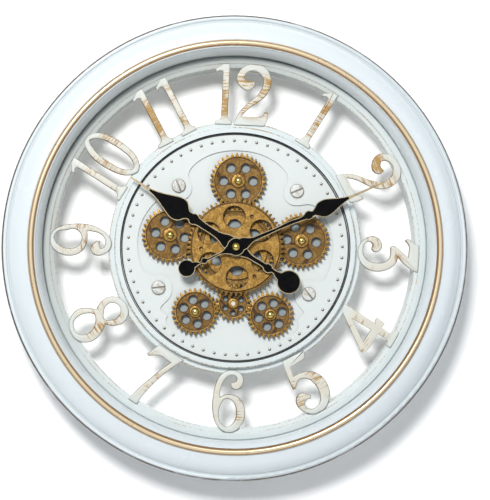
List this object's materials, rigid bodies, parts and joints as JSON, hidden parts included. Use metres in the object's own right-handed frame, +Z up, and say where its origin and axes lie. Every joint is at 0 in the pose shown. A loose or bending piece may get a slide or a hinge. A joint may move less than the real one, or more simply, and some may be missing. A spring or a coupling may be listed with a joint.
{
  "type": "skeleton wall clock",
  "caption": "Round open-dial wall clock with raised bead frame, cut-out numerals, exposed turning gear train and black leaf hands.",
  "frame": {"origin": "on the hand arbor's axis, in the plane of the rear rim that rests on the wall", "axes": "+Z up, +Y into the wall, the dial faces -Y"},
  "size_m": [0.5302, 0.0659, 0.5302],
  "materials": {
    "case_white": "white gloss paint over moulded plastic",
    "numeral_white": "white paint with gold rubbed brush strokes",
    "trim_gold": "gold paint, satin",
    "case_rear": "plain moulded plastic",
    "zinc_steel": "zinc plated",
    "screw_white": "painted over with the dial",
    "antique_gold": "antique gold paint over moulded plastic",
    "brass": "polished",
    "arbor_steel": "bright",
    "movement_black": "moulded",
    "works_nylon": "natural nylon",
    "circuit_green": "board and coil",
    "cell_jacket": "plain cell jacket",
    "contact_steel": "nickel plated",
    "drive_black": "moulded",
    "slider_red": "moulded",
    "hand_black": "black with a pale gold edge"
  },
  "bodies": {
    "case": {"bezel_shell": "case_white", "chapter_band": "case_white", "hub_ring": "case_white", "dial_plate": "case_white", "base_plate": "case_white", "numeral_01": "numeral_white", "numeral_02": "numeral_white", "numeral_03": "numeral_white", "numeral_04": "numeral_white", "numeral_05": "numeral_white", "numeral_06": "numeral_white", "numeral_07": "numeral_white", "numeral_08": "numeral_white", "numeral_09": "numeral_white", "numeral_10": "numeral_white", "numeral_11": "numeral_white", "numeral_12": "numeral_white", "trim_bead": "trim_gold", "back_ring": "case_rear", "rear_drum": "case_rear", "back_cover": "case_rear", "ring_screws": "zinc_steel", "cover_screws": "zinc_steel", "hanger_screws": "zinc_steel", "hanger": "zinc_steel", "dial_screws": "screw_white", "gear_posts": "brass", "post_caps": "brass", "center_bushing": "brass", "movement_bushing": "brass", "movement_case": "movement_black", "movement_lid": "movement_black", "movement_circuit": "circuit_green", "movement_battery": "cell_jacket", "drive_batteries": "cell_jacket", "drive_contacts": "contact_steel", "drive_motor": "contact_steel", "drive_case": "drive_black", "drive_lid": "drive_black", "switch_body": "drive_black"},
    "center_wheel": {"center_drive_gear": "antique_gold", "center_front_gear": "antique_gold"},
    "top_wheel": {"gear_top": "antique_gold"},
    "left_wheel": {"gear_left": "antique_gold"},
    "right_wheel": {"gear_right": "antique_gold"},
    "lower_wheel": {"gear_lower": "antique_gold", "output_arbor": "works_nylon"},
    "bottom_left_wheel": {"gear_bottom_left": "antique_gold"},
    "bottom_right_wheel": {"gear_bottom_right": "antique_gold"},
    "idler": {"idler_gear": "works_nylon"},
    "motor_rotor": {"motor_pinion": "works_nylon"},
    "minute_train": {"minute_arbor": "arbor_steel", "minute_hand": "hand_black", "hand_nut": "brass"},
    "hour_train": {"hour_wheel": "works_nylon", "hour_hand": "hand_black"},
    "motion_works": {"motion_wheel": "works_nylon"},
    "setting_knob": {"set_knob": "movement_black"},
    "power_switch": {"switch_slider": "slider_red"},
    "battery_door": {"drive_door": "drive_black"}
  },
  "joints": [
    {"name": "center_spin", "type": "hinge", "parent": "case", "child": "center_wheel", "pos_m": [0, -0.04, 0], "axis": [0, 1, 0], "continuous": true},
    {"name": "top_spin", "type": "hinge", "parent": "case", "child": "top_wheel", "pos_m": [0, -0.04, 0.0756], "axis": [0, 1, 0], "continuous": true},
    {"name": "left_spin", "type": "hinge", "parent": "case", "child": "left_wheel", "pos_m": [-0.07484, -0.04, 0.01072], "axis": [0, 1, 0], "continuous": true},
    {"name": "right_spin", "type": "hinge", "parent": "case", "child": "right_wheel", "pos_m": [0.07484, -0.04, 0.01072], "axis": [0, 1, 0], "continuous": true},
    {"name": "lower_spin", "type": "hinge", "parent": "case", "child": "lower_wheel", "pos_m": [0, -0.04, -0.0639], "axis": [0, 1, 0], "continuous": true},
    {"name": "bottom_left_spin", "type": "hinge", "parent": "case", "child": "bottom_left_wheel", "pos_m": [-0.04271, -0.04, -0.0749], "axis": [0, 1, 0], "continuous": true},
    {"name": "bottom_right_spin", "type": "hinge", "parent": "case", "child": "bottom_right_wheel", "pos_m": [0.04271, -0.04, -0.0749], "axis": [0, 1, 0], "continuous": true},
    {"name": "idler_spin", "type": "hinge", "parent": "case", "child": "idler", "pos_m": [0.0216, -0.04, -0.0639], "axis": [0, 1, 0], "continuous": true},
    {"name": "motor_spin", "type": "hinge", "parent": "case", "child": "motor_rotor", "pos_m": [0.0396, -0.04, -0.0639], "axis": [0, 1, 0], "continuous": true},
    {"name": "minute_spin", "type": "hinge", "parent": "case", "child": "minute_train", "pos_m": [0, -0.04, 0], "axis": [0, 1, 0], "continuous": true},
    {"name": "hour_spin", "type": "hinge", "parent": "case", "child": "hour_train", "pos_m": [0, -0.04, 0], "axis": [0, 1, 0], "continuous": true},
    {"name": "motion_spin", "type": "hinge", "parent": "case", "child": "motion_works", "pos_m": [0, -0.04, 0.012], "axis": [0, 1, 0], "continuous": true},
    {"name": "knob_spin", "type": "hinge", "parent": "case", "child": "setting_knob", "pos_m": [-0.01039, -0.04, 0.018], "axis": [0, 1, 0], "continuous": true},
    {"name": "switch_slide", "type": "slide", "parent": "case", "child": "power_switch", "axis": [1, 0, 0], "range_m": [0, 0.0054]},
    {"name": "door_slide", "type": "slide", "parent": "case", "child": "battery_door", "axis": [1, 0, 0], "range_m": [0, 0.012]}
  ],
  "couplings": [
    {"joint": "top_spin", "follows": "center_spin", "ratio": -1.4706},
    {"joint": "left_spin", "follows": "center_spin", "ratio": -1.4706},
    {"joint": "right_spin", "follows": "center_spin", "ratio": -1.4706},
    {"joint": "lower_spin", "follows": "center_spin", "ratio": -2.381},
    {"joint": "bottom_left_spin", "follows": "center_spin", "ratio": 1.7857},
    {"joint": "bottom_right_spin", "follows": "center_spin", "ratio": 1.7857},
    {"joint": "idler_spin", "follows": "center_spin", "ratio": 4.7619},
    {"joint": "motor_spin", "follows": "center_spin", "ratio": -9.5238},
    {"joint": "hour_spin", "follows": "minute_spin", "ratio": 0.083333},
    {"joint": "motion_spin", "follows": "minute_spin", "ratio": -0.33333},
    {"joint": "knob_spin", "follows": "minute_spin", "ratio": 1}
  ]
}
